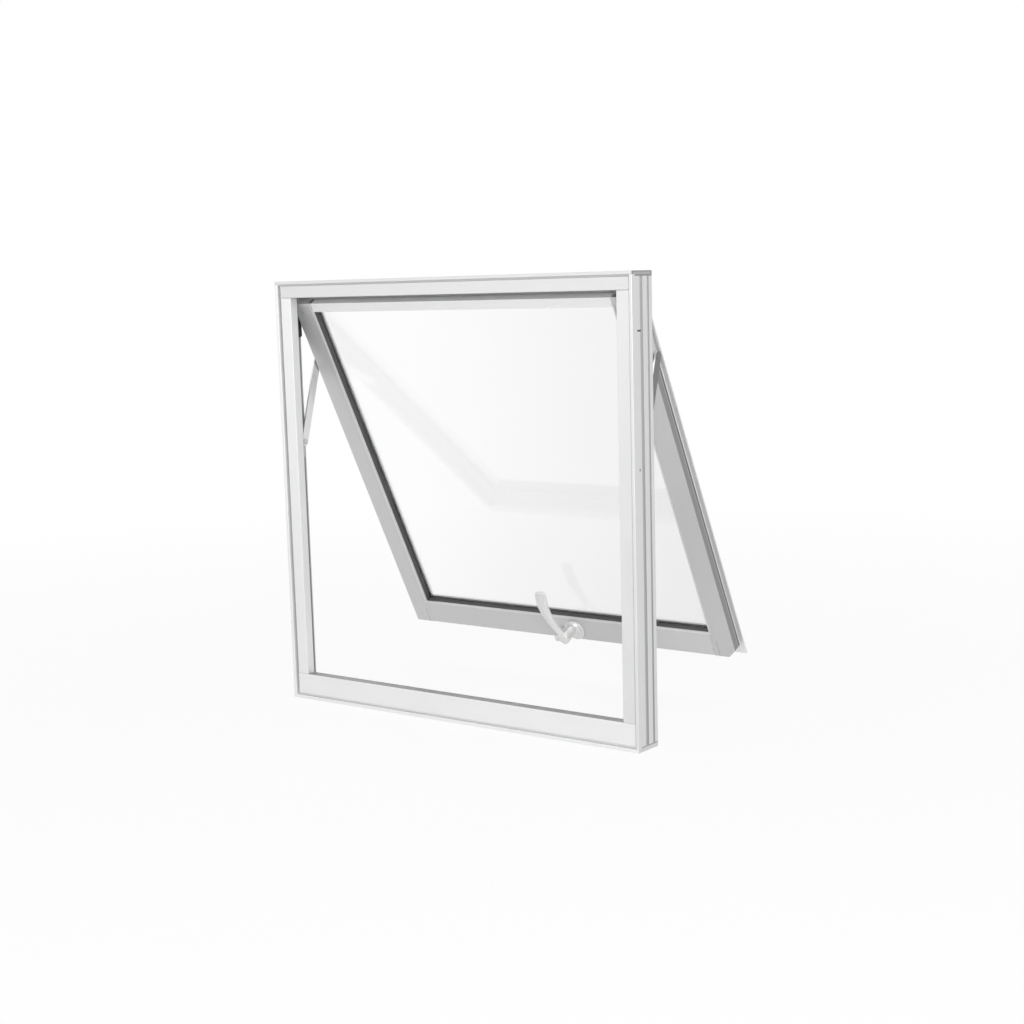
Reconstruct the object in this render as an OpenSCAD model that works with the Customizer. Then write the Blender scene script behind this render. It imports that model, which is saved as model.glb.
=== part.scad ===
// Top hung awning window: a square aluminium frame with a sash that swings out on two stay arms
// while its top slides down in side tracks. Shown part open. X is to the right seen from the room,
// Y points outside, Z is up. The origin is the centre of the sill's underside.

/* [Frame] */
// Width of the frame
frame_w = 600; // [450:10:900]
// Height of the frame
frame_h = 600; // [520:10:900]
// Depth of the frame from room side to outside
frame_d = 45; // [45:1:60]
// Face width of the jambs
jamb_face_w = 25.5; // [22:0.5:32]
// Face height of the head
head_face_h = 23; // [20:0.5:30]
// Face height of the sill
sill_face_h = 36; // [30:0.5:36.5]
// Depth from the lip's edge to the back of the hollow section
box_d = 17; // [15:0.5:18]
// Wall of the hollow sections
wall_t = 1.4; // [1:0.1:1.8]
// Thickness of the jamb webs that run to the outside
web_t = 3; // [2.6:0.1:3.2]
// Height of the base strip of the head and the sill
base_h = 6.5; // [6:0.1:7]
// Height of the sill's outer weather leg above the base
weather_leg_h = 10; // [6:0.5:12]

/* [Trim line] */
// Width of the outer lip all round
lip_w = 4.4; // [3.5:0.1:4.6]
// Width of the groove beside the lip
groove_w = 2.6; // [1.5:0.1:2.8]
// Depth of the main face behind the lip
face_recess = 4; // [2:0.5:5]
// Depth of the groove below the main face
groove_d = 3; // [1:0.5:4]
// Depth of the two grooves in the outer sides
side_groove_d = 1.4; // [0.6:0.1:1.5]

/* [Sash] */
// Room between the frame's outer side and the sash
side_room = 12.4; // [11.8:0.1:13.2]
// Room between the frame's top and the closed sash
top_room = 12.5; // [11.5:0.1:14]
// Room between the frame's underside and the closed sash
bottom_room = 31.5; // [29.5:0.5:33]
// Space for the seal between the hollow section and the closed sash
seal_space = 8; // [7:0.5:9]
// Depth of the sash with its glazing bead
sash_d = 20; // [18:0.5:21]
// Face width of the sash stiles
stile_w = 34; // [30:0.5:38]
// Face height of the sash bottom rail
bottom_rail_h = 39.5; // [39.5:0.5:46]
// Face height of the sash top rail
top_rail_h = 13; // [13:0.5:20]
// Thickness of the glazing bead
bead_t = 3; // [2.4:0.1:3.6]
// Overhang of the bead's outer flange
flange_w = 4.8; // [3:0.1:4.8]
// Thickness of the bead's outer flange
flange_t = 2; // [1.2:0.1:2.4]
// Thickness of the glass
glass_t = 4; // [3:0.5:5]
// Angle of the sash from upright as shown
open_angle = 26.5; // [20:0.1:32]

/* [Stay] */
// Length of each stay arm between its pins
arm_len = 127.2; // [110:1:140]
// Angle of the stay arms from upright as shown
arm_angle = 16.2; // [12:0.1:18]
// Width of each stay arm
arm_w = 12.4; // [8:0.2:12.6]
// Thickness of each stay arm
arm_t = 2.5; // [1.6:0.1:2.6]

/* [Handle] */
// Distance of the handle from the middle of the bottom rail
handle_x = 20.5; // [0:0.5:60]
// Height of the handle's turning axis above the rail's lower edge
handle_up = 22; // [22:0.5:25]
// Length of the lever from its turning axis
lever_len = 80; // [65:1:100]
// Sideways reach of the lever to its palm
lever_sweep = 19; // [5:1:20]
// Reach of the locking tongue from the turning axis
tongue_len = 17; // [14:0.5:18]

/* [Hidden] */
$fn = 48;
// One overrun for every cut
cut = 1;
// Radius of the extrusions' outer edges
edge_r = 0.8;
// Open hairline where two members butt
joint_gap = 0.3;

// Frame, worked out
room_y = -frame_d / 2;
outside_y = frame_d / 2;
box_back_y = room_y + box_d;
groove_end = lip_w + groove_w;
groove_floor = face_recess + groove_d;
// Grooves in the outer sides, measured from the room side
side_groove_1_at = 17.5;
side_groove_1_w = 7;
side_groove_2_at = 34;
side_groove_2_w = 4.5;
weather_leg_t = 1.6;
// Drain slots through the weather leg
drain_slot_w = 25;
drain_slot_h = 3;
drain_slot_x = frame_w / 2 - 90;
// Fine line across the sill's face
sill_line_z = 30;
sill_line_h = 0.8;
sill_line_d = 0.4;
// Small key slot and screw seat in each outer side
key_slot_at = 11;
key_slot_d = 9;
key_slot_h = 2.2;
key_slot_z = 526.5;
screw_seat_at = 12.8;
screw_seat_r = 1.9;
screw_seat_z = 357.5;
seat_depth = 1.5;

// Sash, worked out
sash_w = frame_w - 2 * side_room;
sash_h = frame_h - top_room - bottom_room;
closed_face_y = box_back_y + seal_space;
pivot_depth = 11;
pivot_below_top = 8.8;
track_y = closed_face_y + pivot_depth;
arm_rise = arm_len * cos(arm_angle);
arm_out = arm_len * sin(arm_angle);
// Distance between the two sash pins that keeps the shoe in its track as shown
pin_gap = arm_out / sin(open_angle);
closed_shoe_z = frame_h - top_room - pivot_below_top;
pin_z = closed_shoe_z - arm_len - pin_gap;
shoe_z = pin_z + arm_rise + pin_gap * cos(open_angle);
sash_top = pivot_below_top;
sash_bottom = pivot_below_top - sash_h;
tube_d = sash_d - bead_t;
rebate = 7.5;
lip_t = 1.6;
glass_depth = 9.5;
ridge_w = 3;
ridge_h = 0.8;
side_rebate_at = 10.5;
side_rebate_d = 2;
right_corner_cut = 13;
left_corner_cut = 2;
glass_edge = 2;
gasket_w = 5;
gasket_set_back = 0.3;
outer_set_back = 3;
outer_w = 2.4;
gasket_slope = 0.6;

// Stay, worked out
pin_r = 2.4;
bore_r = 2.45;
pin_head_r = 4.2;
pin_head_t = 0.5;
pin_head_gap = 0.2;
plate_t = 1.2;
plate_w = 10;
plate_gap = 0.3;
track_base_t = 0.8;
track_lip_t = 1;
track_lip_h = 1.2;
shoe_w = 7.4;
shoe_clear = 1;
shoe_base_gap = 0.3;
shoe_below = 48;
track_inner_w = shoe_w + 2 * shoe_clear;
bracket_up = 7;
bracket_down = 25;
bracket_t = 1.4;
bracket_hole_r = 1.5;
bracket_hole_down = 14.5;
web_x = frame_w / 2 - web_t;
track_x = web_x - track_base_t;
stile_x = sash_w / 2;
arm_x = stile_x + plate_t + plate_gap;
arm_back_x = arm_x + arm_t;

// Seals
seal_gap = 0.4;
seal_base_t = 2;
seal_base_w = 6;
seal_neck_w = 2.4;
seal_bulb_r = 2.8;
seal_set_in = 5;
head_seal_reach = 4.6;
sill_seal_h = 3.6;
sill_seal_reach = 4.2;
jamb_seal_below_pin = 28;

// Handle, worked out
rosette_r = 16.5;
rosette_t = 3;
rosette_edge = 1.4;
rosette_drop = 5;
boss_r = 11.5;
boss_top_r = 8.8;
boss_h = 7;
turn_gap = 0.3;
stem_r = 7.8;
hub_r = 8.6;
hub_low = 22;
hub_high = 32;
hub_edge = 1.2;
tongue_t = 4;
tongue_end_r = 5;
tongue_turn = 197;
lever_low = 24.5;
spindle_r = 3.5;
spindle_bore_r = 3.55;
screw_off = 22;
screw_drop = 2.5;
screw_r = 4.2;
screw_t = 1.8;
screw_flat_r = 2.8;
// Lever stations: share of the length, share of the sweep, half width, rise and thickness
lever_at = [-0.02, 0.12, 0.21, 0.33, 0.48, 0.66, 0.84, 0.93, 0.98, 1];
lever_side = [0, -0.3, -0.5, -0.7, -0.9, -1, -0.98, -0.95, -0.93, -0.92];
lever_half = [6.8, 6.6, 6.6, 7.2, 8.6, 9.4, 9.6, 9.4, 8.8, 7.4];
lever_rise = [0, 0.3, 0.6, 1, 1.4, 1.4, 0.9, 0.5, 0.4, 0.6];
lever_thick = [6, 6, 6, 6, 6, 6, 5.6, 5, 4.2, 3.4];
// Lever section: share of the half width and share of the thickness, with a ridge in the middle
lever_section = [[-0.82, 0], [0.82, 0], [1, 0.3], [1, 0.62], [0, 1], [-1, 0.62], [-1, 0.3]];

frame_colour = [0.88, 0.88, 0.88];
sash_colour = [0.78, 0.78, 0.78];
rubber_colour = [0.15, 0.15, 0.16];
stay_colour = [0.8, 0.8, 0.8];
handle_colour = [0.93, 0.93, 0.92];

// Profile lying along X: v is depth from the room side, u the height above the base
module along_x(len) {
    rotate([90, 0, 90]) linear_extrude(len, center = true) children();
}

// Rectangle from the room side back, with its two front corners round
module soft_front(depth, w, r) {
    translate([r, 0]) square([depth - r, w]);
    translate([0, r]) square([depth, w - 2 * r]);
    for (at = [r, w - r]) translate([r, at]) circle(r);
}

// Section of the raised lip that runs round the room side
module lip_section() {
    translate([room_y, 0]) soft_front(groove_floor, lip_w, edge_r);
}

// Section of the strip behind the lip and of the web that runs to the outside
module strip_section(strip, web) {
    translate([room_y + groove_floor, 0]) square([box_d - groove_floor, strip]);
    translate([room_y + groove_floor, 0]) square([frame_d - groove_floor, web]);
}

// Section of a jamb's outer strip with its side grooves
module jamb_strip_section() {
    difference() {
        strip_section(groove_end, web_t);
        translate([room_y + side_groove_1_at, -cut]) square([side_groove_1_w, side_groove_d + cut]);
        translate([room_y + side_groove_2_at, -cut]) square([side_groove_2_w, side_groove_d + cut]);
    }
}

// Section of the hollow room-side box from the groove inwards
module box_outline(from, to) {
    translate([room_y + face_recess, from]) soft_front(box_d - face_recess, to - from, edge_r);
}

module box_section(from, to) {
    difference() {
        box_outline(from, to);
        translate([room_y + face_recess + wall_t, from + wall_t])
            square([box_d - face_recess - 2 * wall_t, to - from - 2 * wall_t]);
    }
}

// Box of the head or the sill with its two ends closed
module level_box(to) {
    box_len = frame_w - 2 * groove_end;
    along_x(box_len) box_section(base_h, to);
    for (side = [-1, 1])
        translate([side * (box_len - wall_t) / 2, 0, 0]) along_x(wall_t) box_outline(base_h, to);
}

// The jamb's strip and lip run between those of the head and the sill, and its box between their boxes
module jamb() {
    difference() {
        union() {
            translate([frame_w / 2, 0, base_h])
                linear_extrude(frame_h - 2 * base_h) rotate(90) jamb_strip_section();
            translate([frame_w / 2, 0, lip_w])
                linear_extrude(frame_h - 2 * lip_w) rotate(90) lip_section();
        }
        translate([frame_w / 2 - seat_depth, room_y + key_slot_at, key_slot_z])
            cube([seat_depth + cut, key_slot_d, key_slot_h]);
        translate([0, room_y + screw_seat_at, screw_seat_z])
            x_rod(frame_w / 2 - seat_depth, frame_w / 2 + cut, screw_seat_r);
    }
    translate([frame_w / 2, 0, sill_face_h + joint_gap])
        linear_extrude(frame_h - head_face_h - sill_face_h - 2 * joint_gap) rotate(90)
            box_section(groove_end, jamb_face_w);
}

module left_jamb() { color(frame_colour) mirror([1, 0, 0]) jamb(); }
module right_jamb() { color(frame_colour) jamb(); }

module head() {
    color(frame_colour) translate([0, 0, frame_h]) mirror([0, 0, 1]) {
        along_x(frame_w) lip_section();
        along_x(frame_w) strip_section(base_h, base_h);
        level_box(head_face_h);
    }
}

module sill() {
    color(frame_colour) difference() {
        union() {
            along_x(frame_w) lip_section();
            along_x(frame_w) strip_section(base_h, base_h);
            level_box(sill_face_h);
            along_x(frame_w - 2 * web_t)
                translate([outside_y - weather_leg_t, base_h]) square([weather_leg_t, weather_leg_h]);
        }
        translate([-frame_w / 2, room_y + face_recess - cut, sill_line_z])
            cube([frame_w, sill_line_d + cut, sill_line_h]);
        for (side = [-1, 1])
            translate([side * drain_slot_x - drain_slot_w / 2, outside_y - weather_leg_t - cut, base_h])
                cube([drain_slot_w, weather_leg_t + 2 * cut, drain_slot_h]);
    }
}

// Shallow channel on the inside of the jamb web
module track() {
    translate([web_x, 0, base_h]) linear_extrude(frame_h - 2 * base_h) {
        translate([-track_base_t, track_y - track_inner_w / 2 - track_lip_t])
            square([track_base_t, track_inner_w + 2 * track_lip_t]);
        for (side = [-1, 1])
            translate([-track_base_t - track_lip_h, track_y + side * (track_inner_w + track_lip_t) / 2
                - track_lip_t / 2]) square([track_lip_h, track_lip_t]);
    }
}

module left_track() { color(frame_colour) mirror([1, 0, 0]) track(); }
module right_track() { color(frame_colour) track(); }

// Cylinder along X from one place to another
module x_rod(from, to, r) {
    translate([from, 0, 0]) rotate([0, 90, 0]) cylinder(h = to - from, r = r);
}

// Plate in the YZ plane with round ends at two heights
module x_plate(from, to, low, high, w) {
    translate([from, 0, 0]) rotate([90, 0, 90]) linear_extrude(to - from) {
        translate([-w / 2, low]) square([w, high - low]);
        translate([0, low]) circle(w / 2);
        translate([0, high]) circle(w / 2);
    }
}

// Bracket in the track with the fixed pin that the stay arm turns on
module arm_bracket() {
    bracket_w = track_inner_w - 2 * plate_gap;
    translate([0, track_y, pin_z]) {
        difference() {
            x_plate(track_x - bracket_t, track_x, -bracket_down + bracket_w / 2, bracket_up - bracket_w / 2,
                bracket_w);
            translate([0, 0, -bracket_hole_down])
                x_rod(track_x - bracket_t - cut, track_x + cut, bracket_hole_r);
        }
        x_rod(arm_x - pin_head_gap, track_x - bracket_t, pin_r);
        x_rod(arm_x - pin_head_gap - pin_head_t, arm_x - pin_head_gap, pin_head_r);
    }
}

module left_arm_bracket() { color(stay_colour) mirror([1, 0, 0]) arm_bracket(); }
module right_arm_bracket() { color(stay_colour) arm_bracket(); }

// Bulb seal section: a flat base against the hollow section, a neck and a round bulb
module seal_section(reach) {
    bulb_r = min(seal_bulb_r, reach / 2);
    square([seal_base_w, min(seal_base_t, reach / 2)]);
    translate([(seal_base_w - seal_neck_w) / 2, 0]) square([seal_neck_w, reach - bulb_r]);
    translate([seal_base_w / 2, reach - bulb_r]) circle(bulb_r);
}

module head_seal() {
    color(rubber_colour) translate([0, box_back_y, frame_h - head_face_h]) rotate([90, 0, 90])
        linear_extrude(frame_w - 2 * jamb_face_w, center = true) rotate(90) mirror([0, 1, 0])
            seal_section(head_seal_reach);
}

module sill_seal() {
    color(rubber_colour) translate([-frame_w / 2 + jamb_face_w, box_back_y, bottom_room + seal_gap])
        cube([frame_w - 2 * jamb_face_w, sill_seal_reach, sill_seal_h]);
}

module jamb_seal() {
    translate([frame_w / 2 - jamb_face_w + seal_set_in, box_back_y, sill_face_h])
        linear_extrude(closed_shoe_z - jamb_seal_below_pin - sill_face_h)
            seal_section(seal_space - seal_gap);
}

module left_jamb_seal() { color(rubber_colour) mirror([1, 0, 0]) jamb_seal(); }
module right_jamb_seal() { color(rubber_colour) jamb_seal(); }

// Stay arm from the fixed pin to the lower sash pin
module stay_arm() {
    translate([0, track_y, pin_z]) rotate([-arm_angle, 0, 0]) difference() {
        x_plate(arm_x, arm_back_x, 0, arm_len, arm_w);
        x_rod(arm_x - cut, arm_back_x + cut, bore_r);
        translate([0, 0, arm_len]) x_rod(arm_x - cut, arm_back_x + cut, bore_r);
    }
}

module left_stay_arm() { color(stay_colour) mirror([1, 0, 0]) stay_arm(); }
module right_stay_arm() { color(stay_colour) stay_arm(); }

// Everything on the sash is drawn upright with the upper pin at the origin, then swung open
module on_sash() {
    translate([0, track_y, shoe_z]) rotate([open_angle, 0, 0]) translate([0, -pivot_depth, 0]) children();
}

// Sash tube: depth from the room-side face across, width from the outer edge inwards up
module sash_section(w) {
    tube_w = w - rebate;
    difference() {
        union() {
            soft_front(tube_d, tube_w, edge_r);
            translate([0, tube_w - edge_r - cut]) square([lip_t, rebate + edge_r + cut]);
        }
        translate([wall_t, side_rebate_d + wall_t])
            square([tube_d - 2 * wall_t, tube_w - side_rebate_d - 2 * wall_t]);
        translate([side_rebate_at, -cut]) square([sash_d, side_rebate_d + cut]);
    }
}

// Raised line on the lip beside the glass
module ridge_section(w) {
    translate([-ridge_h, w - ridge_w]) soft_front(ridge_h + lip_t, ridge_w, ridge_h / 2);
}

// Sight size inside the stiles and rails
sight_x = sash_w / 2 - stile_w;
sight_low = sash_bottom + bottom_rail_h;
sight_high = sash_top - top_rail_h;
glass_in = rebate - glass_edge;

// Stile drawn at its own place for the right side; its ends are closed
module stile(corner_cut) {
    difference() {
        union() {
            translate([stile_x, 0, sash_bottom]) linear_extrude(sash_h) rotate(90) sash_section(stile_w);
            translate([stile_x, 0, sight_low - ridge_w])
                linear_extrude(sight_high - sight_low + 2 * ridge_w) rotate(90) ridge_section(stile_w);
            for (end = [sash_bottom, sash_top - wall_t])
                translate([sight_x + rebate, edge_r, end])
                    cube([stile_w - rebate - side_rebate_d - wall_t, tube_d - 2 * edge_r, wall_t]);
        }
        translate([stile_x, -cut - ridge_h, sash_bottom]) rotate([-90, 0, 0])
            linear_extrude(tube_d + 2 * cut + ridge_h)
                polygon([[-corner_cut, cut], [cut, cut], [cut, -corner_cut]]);
    }
}

module sash_left_stile() { color(sash_colour) on_sash() mirror([1, 0, 0]) stile(left_corner_cut); }
module sash_right_stile() { color(sash_colour) on_sash() stile(right_corner_cut); }

module rail(h) {
    along_x(2 * (sight_x - joint_gap)) {
        sash_section(h);
        ridge_section(h);
    }
}

module sash_bottom_rail() {
    color(sash_colour) on_sash() difference() {
        translate([0, 0, sash_bottom]) rail(bottom_rail_h);
        translate([handle_x, -cut, sash_bottom + handle_up]) rotate([-90, 0, 0])
            cylinder(h = wall_t + 2 * cut, r = spindle_r + 2 * turn_gap);
    }
}

module sash_top_rail() {
    color(sash_colour) on_sash() translate([0, 0, sash_top]) mirror([0, 0, 1]) rail(top_rail_h);
}

// Glazing bead that holds the glass from outside, with the flange that laps over the frame's opening
module side_bead() {
    translate([sight_x, tube_d, sash_bottom]) cube([stile_w - side_rebate_d, bead_t, sash_h]);
    translate([sight_x, sash_d - flange_t, sash_bottom - flange_w])
        cube([stile_w + flange_w, flange_t, sash_h + 2 * flange_w]);
}

module cross_bead(h) {
    along_x(2 * (sight_x - joint_gap)) {
        translate([tube_d, side_rebate_d]) square([bead_t, h - side_rebate_d]);
        translate([sash_d - flange_t, -flange_w]) square([flange_t, flange_w + h]);
    }
}

module left_bead() { color(sash_colour) on_sash() mirror([1, 0, 0]) side_bead(); }
module right_bead() { color(sash_colour) on_sash() side_bead(); }

module bottom_bead() {
    color(sash_colour) on_sash() translate([0, 0, sash_bottom]) cross_bead(bottom_rail_h);
}

module top_bead() {
    color(sash_colour) on_sash() translate([0, 0, sash_top]) mirror([0, 0, 1]) cross_bead(top_rail_h);
}

module glass_pane() {
    color([0.85, 0.92, 0.92, 0.5]) on_sash()
        translate([-sight_x - glass_in, glass_depth, sight_low - glass_in])
            cube([2 * (sight_x + glass_in), glass_t, sight_high - sight_low + 2 * glass_in]);
}

// Gasket section: depth across, width outwards from the glass opening; its face slopes to the glass
module gasket_section() {
    polygon([[lip_t, gasket_set_back + gasket_slope], [lip_t, gasket_set_back + gasket_w],
        [glass_depth, gasket_set_back + gasket_w], [glass_depth, gasket_set_back]]);
}

// The upright gaskets run past the ends of the level ones
module level_gasket() {
    along_x(2 * (sight_x + gasket_set_back)) gasket_section();
}

module upright_gasket() {
    translate([sight_x, 0, sight_low - gasket_set_back - gasket_w])
        linear_extrude(sight_high - sight_low + 2 * (gasket_set_back + gasket_w))
            mirror([1, -1, 0]) gasket_section();
}

module outer_bar_x(low) {
    translate([-sight_x - outer_set_back, glass_depth + glass_t, low])
        cube([2 * (sight_x + outer_set_back), tube_d - glass_depth - glass_t, outer_w]);
}

module outer_bar_z() {
    translate([sight_x + outer_set_back, glass_depth + glass_t, low_bar])
        cube([outer_w, tube_d - glass_depth - glass_t, high_bar + outer_w - low_bar]);
}

low_bar = sight_low - outer_set_back - outer_w;
high_bar = sight_high + outer_set_back;

module top_gasket() { color(rubber_colour) on_sash() translate([0, 0, sight_high]) level_gasket(); }
module bottom_gasket() {
    color(rubber_colour) on_sash() translate([0, 0, sight_low]) mirror([0, 0, 1]) level_gasket();
}
module left_gasket() { color(rubber_colour) on_sash() mirror([1, 0, 0]) upright_gasket(); }
module right_gasket() { color(rubber_colour) on_sash() upright_gasket(); }
module top_outer_gasket() { color(rubber_colour) on_sash() outer_bar_x(high_bar); }
module bottom_outer_gasket() { color(rubber_colour) on_sash() outer_bar_x(low_bar); }
module left_outer_gasket() { color(rubber_colour) on_sash() mirror([1, 0, 0]) outer_bar_z(); }
module right_outer_gasket() { color(rubber_colour) on_sash() outer_bar_z(); }

// Plate on the stile's side with the pins for the shoe and the stay arm
module pivot_plate() {
    head_x = arm_back_x + pin_head_gap;
    translate([0, pivot_depth, 0]) {
        x_plate(stile_x, stile_x + plate_t, -pin_gap, 0, plate_w);
        translate([0, 0, -pin_gap]) {
            x_rod(stile_x + plate_t, head_x, pin_r);
            x_rod(head_x, head_x + pin_head_t, pin_head_r);
        }
        x_rod(stile_x + plate_t, head_x + pin_head_t, pin_r);
    }
}

module left_pivot_plate() { color(stay_colour) on_sash() mirror([1, 0, 0]) pivot_plate(); }
module right_pivot_plate() { color(stay_colour) on_sash() pivot_plate(); }

// Plastic shoe that hangs on the upper sash pin and slides in the track
module shoe() {
    translate([0, track_y, shoe_z]) difference() {
        x_plate(arm_x, track_x - shoe_base_gap, shoe_w / 2 - shoe_below, 0, shoe_w);
        x_rod(arm_x - cut, web_x + cut, bore_r);
    }
}

module left_shoe() { color([0.1, 0.1, 0.1]) mirror([1, 0, 0]) shoe(); }
module right_shoe() { color([0.1, 0.1, 0.1]) shoe(); }

// Handle drawn with its turning axis as Z, which points from the rail's face to the room,
// and with Y up along the sash
module on_handle() {
    on_sash() translate([handle_x, 0, sash_bottom + handle_up]) rotate([90, 0, 0]) children();
}

// Round base set a little below the turning axis, with a tapered boss round the stem
module handle_base() {
    color(handle_colour) on_handle() difference() {
        union() {
            translate([0, -rosette_drop, 0]) {
                cylinder(h = rosette_t - rosette_edge, r = rosette_r);
                translate([0, 0, rosette_t - rosette_edge])
                    cylinder(h = rosette_edge, r1 = rosette_r, r2 = rosette_r - rosette_edge);
            }
            cylinder(h = boss_h, r1 = boss_r, r2 = boss_top_r);
        }
        translate([0, 0, -cut]) cylinder(h = boss_h + 2 * cut, r = spindle_bore_r);
    }
}

// Domed screw in the rail beside the base
module rail_screw() {
    color(stay_colour) on_handle() translate([-screw_off, -screw_drop, 0])
        cylinder(h = screw_t, r1 = screw_r, r2 = screw_flat_r);
}

// Lever swept through its stations, each a section across the lever's length
module lever_blade() {
    stations = len(lever_at);
    corners = len(lever_section);
    points = [for (i = [0 : stations - 1], p = lever_section)
        [lever_side[i] * lever_sweep + p[0] * lever_half[i], lever_at[i] * lever_len,
            lever_low + lever_rise[i] + p[1] * lever_thick[i]]];
    first_cap = [for (j = [corners - 1 : -1 : 0]) j];
    last_cap = [for (j = [0 : corners - 1]) (stations - 1) * corners + j];
    sides = [for (i = [0 : stations - 2], j = [0 : corners - 1], half = [0, 1])
        let (next = (j + 1) % corners, a = i * corners, b = (i + 1) * corners)
            half == 0 ? [a + j, a + next, b + next] : [a + j, b + next, b + j]];
    polyhedron(points = points, faces = concat([first_cap, last_cap], sides), convexity = 4);
}

// Lever with its spindle, stem, round hub and short locking tongue
module handle_lever() {
    color(handle_colour) on_handle() {
        translate([0, 0, -wall_t]) cylinder(h = wall_t + boss_h + 2 * turn_gap, r = spindle_r);
        translate([0, 0, boss_h + turn_gap]) cylinder(h = hub_low - boss_h, r = stem_r);
        translate([0, 0, hub_low]) cylinder(h = hub_high - hub_low - hub_edge, r = hub_r);
        translate([0, 0, hub_high - hub_edge]) cylinder(h = hub_edge, r1 = hub_r, r2 = hub_r - hub_edge);
        translate([0, 0, hub_low]) rotate(tongue_turn) linear_extrude(tongue_t) {
            translate([0, -tongue_end_r]) square([tongue_len, 2 * tongue_end_r]);
            translate([tongue_len, 0]) circle(tongue_end_r);
        }
        lever_blade();
    }
}

left_jamb();
right_jamb();
head();
sill();
left_track();
right_track();
left_arm_bracket();
right_arm_bracket();
head_seal();
left_jamb_seal();
right_jamb_seal();
sill_seal();
left_stay_arm();
right_stay_arm();
sash_top_rail();
sash_bottom_rail();
sash_left_stile();
sash_right_stile();
top_bead();
bottom_bead();
left_bead();
right_bead();
glass_pane();
top_gasket();
bottom_gasket();
left_gasket();
right_gasket();
top_outer_gasket();
bottom_outer_gasket();
left_outer_gasket();
right_outer_gasket();
left_pivot_plate();
right_pivot_plate();
handle_base();
rail_screw();
left_shoe();
right_shoe();
handle_lever();
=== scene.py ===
# %% [markdown]
# # A top hung awning window, dressed for a studio picture
# The window is a square aluminium frame with a glazed sash that hangs from its top edge and swings
# outwards on two stay arms. All the load-bearing shapes come from the CAD model, which is loaded
# as a fixed frame. This script adds what the eye wants: drawn and anodised metal, glass, rubber,
# a cast lever handle, screws, light and a camera. Lengths are in metres, Z is up, and the room
# side faces -Y.

# %% Load the frame
import math

import bpy
import numpy as np
from mathutils import Matrix, Vector


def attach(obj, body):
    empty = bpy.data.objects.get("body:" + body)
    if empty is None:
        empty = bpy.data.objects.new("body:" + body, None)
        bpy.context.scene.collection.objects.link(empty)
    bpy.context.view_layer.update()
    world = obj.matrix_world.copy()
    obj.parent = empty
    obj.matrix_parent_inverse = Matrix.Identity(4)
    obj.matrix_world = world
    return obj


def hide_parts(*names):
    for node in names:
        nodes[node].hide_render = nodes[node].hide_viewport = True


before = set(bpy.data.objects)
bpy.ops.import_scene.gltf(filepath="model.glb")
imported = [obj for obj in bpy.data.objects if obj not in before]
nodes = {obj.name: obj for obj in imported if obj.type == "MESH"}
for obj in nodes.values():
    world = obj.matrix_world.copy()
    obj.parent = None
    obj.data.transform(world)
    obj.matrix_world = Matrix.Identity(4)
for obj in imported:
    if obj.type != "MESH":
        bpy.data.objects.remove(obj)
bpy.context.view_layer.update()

# %% [markdown]
# ## The camera
# The picture was taken from the right of the window and about as high as its top, with the camera
# tilted down and turned very slightly. A camera is a matrix of three directions and a place. I
# write the directions out from the three angles, because that shows where each number goes, and
# the sensor shift then slides the picture to the place that it has in the frame.

# %% Camera directions and lens
azimuth, pitch, roll = math.radians(-37.12), math.radians(9.44), math.radians(1.54)
camera_place = (1.4571, -1.7945, 0.5851)
sensor_width, picture_width, focal_pixels = 36.0, 1024.0, 1729.0
picture_shift = (-0.00542, 0.0602)
nearest_seen, farthest_seen = 0.05, 60.0

level_way = Vector((math.sin(azimuth), math.cos(azimuth), 0.0))
forward = level_way * math.cos(pitch) - Vector((0.0, 0.0, math.sin(pitch)))
level_right = Vector((math.cos(azimuth), -math.sin(azimuth), 0.0))
level_down = forward.cross(level_right)
right = level_right * math.cos(roll) + level_down * math.sin(roll)
down = -level_right * math.sin(roll) + level_down * math.cos(roll)

camera_data = bpy.data.cameras.new("studio_camera")
camera_data.sensor_width = sensor_width
camera_data.lens = focal_pixels * sensor_width / picture_width
camera_data.shift_x, camera_data.shift_y = picture_shift
camera_data.clip_start, camera_data.clip_end = nearest_seen, farthest_seen
camera = bpy.data.objects.new("studio_camera", camera_data)
bpy.context.scene.collection.objects.link(camera)
camera_turn = Matrix((right, -down, -forward)).transposed().to_4x4()
camera.matrix_world = Matrix.Translation(camera_place) @ camera_turn
bpy.context.scene.camera = camera
bpy.context.scene.view_settings.view_transform = "Standard"
print("lens in mm", round(camera_data.lens, 2))

# %% [markdown]
# ## Meshes from arrays
# Every new piece is a grid of points worked out by numpy, so one small helper turns a grid into
# faces. A grid can be closed round in one direction, as a lathe or a tube is, and its two open ends
# are then closed with a cap. The faces are made from index arrays too, which keeps the work in
# numpy.

# %% Grids into faces
def grid_faces(rows, columns, closed_round):
    """Four-sided faces of a grid of rows x columns points: each face joins a point, the next one in
    its row, and the two above them. With closed_round the last column joins the first."""
    row = np.arange(rows - 1)[:, None]
    column = np.arange(columns if closed_round else columns - 1)[None, :]
    following = (column + 1) % columns
    corners = [row * columns + column, row * columns + following,
               (row + 1) * columns + following, (row + 1) * columns + column]
    return np.stack(corners, axis=-1).reshape(-1, 4)


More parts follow.
